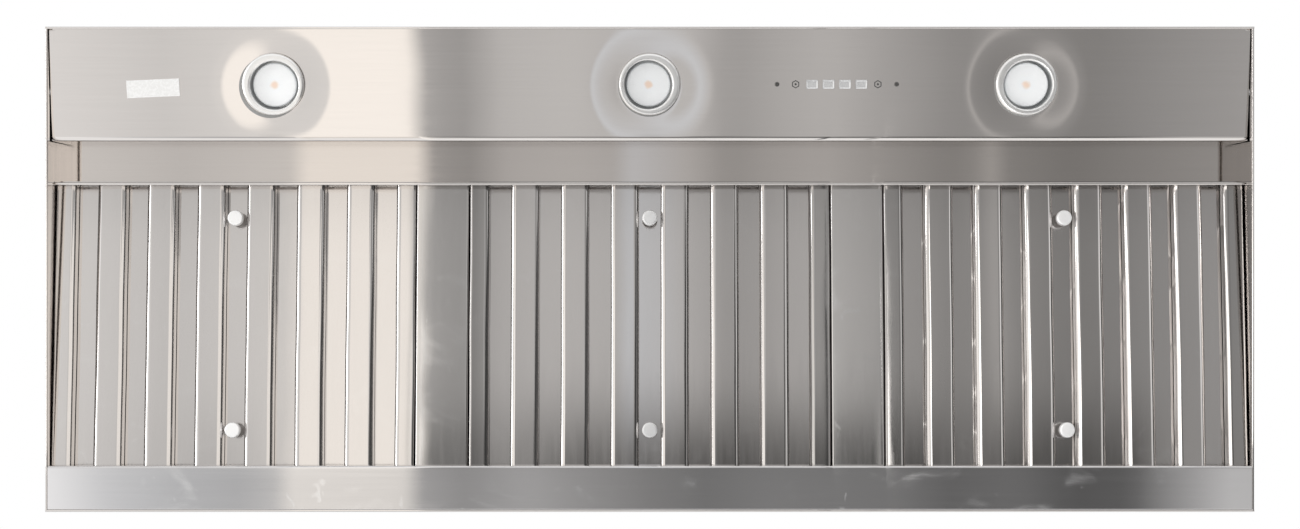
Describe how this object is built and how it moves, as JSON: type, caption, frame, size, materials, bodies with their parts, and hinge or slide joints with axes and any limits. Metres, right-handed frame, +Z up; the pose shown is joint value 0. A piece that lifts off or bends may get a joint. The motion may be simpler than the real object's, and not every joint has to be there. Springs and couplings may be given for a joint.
{
  "type": "range hood insert",
  "caption": "Wide stainless range hood liner with baffle filters that push forward to unhook, front lamps and buttons, a blower and a round top duct collar with a damper.",
  "frame": {"origin": "middle of the bottom rim's plane", "axes": "+X to the right when looked at from below with the front at the top, -Y is the front, +Z up"},
  "size_m": [1.482, 0.595, 0.365],
  "materials": {
    "housing_steel": "long brushed grain from side to side",
    "filter_steel": "bright rolled stainless, fine grain along the baffles",
    "knob_chrome": "polished with fine scratches",
    "trim_chrome": "satin polished",
    "bulb_glass": "frosted lens",
    "holder_ceramic": "glazed white",
    "button_chrome": "polished",
    "screw_steel": "zinc bright",
    "black_plastic": "moulded",
    "motor_paint": "semi-gloss black",
    "capacitor_shell": "smooth",
    "galvanised": "galvanised, dull with spangle",
    "wire_sleeve": "woven sleeve"
  },
  "bodies": {
    "housing": {"blower_inlet_rings": "galvanised", "blower_motor": "motor_paint", "blower_scroll_wrap": "galvanised", "blower_side_plates": "galvanised", "compartment_wall": "housing_steel", "control_module": "black_plastic", "control_screws": "screw_steel", "damper_rod": "screw_steel", "duct_collar": "galvanised", "filter_divider_left": "filter_steel", "filter_divider_right": "filter_steel", "filter_front_bar": "housing_steel", "front_panel": "housing_steel", "grease_trough": "housing_steel", "hanger_plates": "galvanised", "junction_box": "galvanised", "junction_box_cover": "galvanised", "knockout_plate": "galvanised", "lamp_bulb_centre": "bulb_glass", "lamp_bulb_left": "bulb_glass", "lamp_bulb_right": "bulb_glass", "lamp_driver": "black_plastic", "lamp_holder_centre": "holder_ceramic", "lamp_holder_left": "holder_ceramic", "lamp_holder_right": "holder_ceramic", "lamp_trim_centre": "trim_chrome", "lamp_trim_left": "trim_chrome", "lamp_trim_right": "trim_chrome", "left_side_panel": "housing_steel", "light_panel": "housing_steel", "motor_bracket": "motor_paint", "panel_screws": "screw_steel", "rear_panel": "housing_steel", "recess_ceiling": "housing_steel", "right_side_panel": "housing_steel", "run_capacitor": "capacitor_shell", "top_panel": "housing_steel", "wiring_loom": "wire_sleeve"},
    "filter_1": {"filter_1_frame": "filter_steel", "filter_1_knobs": "knob_chrome", "filter_1_lower_baffles": "filter_steel", "filter_1_upper_baffles": "filter_steel"},
    "filter_2": {"filter_2_frame": "filter_steel", "filter_2_knobs": "knob_chrome", "filter_2_lower_baffles": "filter_steel", "filter_2_upper_baffles": "filter_steel"},
    "filter_3": {"filter_3_frame": "filter_steel", "filter_3_knobs": "knob_chrome", "filter_3_lower_baffles": "filter_steel", "filter_3_upper_baffles": "filter_steel"},
    "blower_rotor": {"blower_wheel": "galvanised", "blower_shaft": "screw_steel"},
    "damper_front": {"damper_flap_front": "galvanised"},
    "damper_rear": {"damper_flap_rear": "galvanised"},
    "button_1": {"button_1": "button_chrome"},
    "button_2": {"button_2": "button_chrome"},
    "button_3": {"button_3": "button_chrome"},
    "button_4": {"button_4": "button_chrome"}
  },
  "joints": [
    {"name": "filter_1_push", "type": "slide", "parent": "housing", "child": "filter_1", "axis": [0, -0.9969, 0.0785], "range_m": [0, 0.025]},
    {"name": "filter_2_push", "type": "slide", "parent": "housing", "child": "filter_2", "axis": [0, -0.9969, 0.0785], "range_m": [0, 0.025]},
    {"name": "filter_3_push", "type": "slide", "parent": "housing", "child": "filter_3", "axis": [0, -0.9969, 0.0785], "range_m": [0, 0.025]},
    {"name": "blower_spin", "type": "hinge", "parent": "housing", "child": "blower_rotor", "pos_m": [0, 0.049, 0.182], "axis": [1, 0, 0], "continuous": true},
    {"name": "damper_front_swing", "type": "hinge", "parent": "housing", "child": "damper_front", "pos_m": [0, 0.094, 0.317], "axis": [-1, 0, 0], "range_deg": [0, 75]},
    {"name": "damper_rear_swing", "type": "hinge", "parent": "housing", "child": "damper_rear", "pos_m": [0, 0.094, 0.317], "axis": [1, 0, 0], "range_deg": [0, 75]},
    {"name": "button_1_press", "type": "slide", "parent": "housing", "child": "button_1", "axis": [0, -0.0973, 0.9953], "range_m": [0, 0.002], "stiffness_N_per_m": 400},
    {"name": "button_2_press", "type": "slide", "parent": "housing", "child": "button_2", "axis": [0, -0.0973, 0.9953], "range_m": [0, 0.002], "stiffness_N_per_m": 400},
    {"name": "button_3_press", "type": "slide", "parent": "housing", "child": "button_3", "axis": [0, -0.0973, 0.9953], "range_m": [0, 0.002], "stiffness_N_per_m": 400},
    {"name": "button_4_press", "type": "slide", "parent": "housing", "child": "button_4", "axis": [0, -0.0973, 0.9953], "range_m": [0, 0.002], "stiffness_N_per_m": 400}
  ]
}
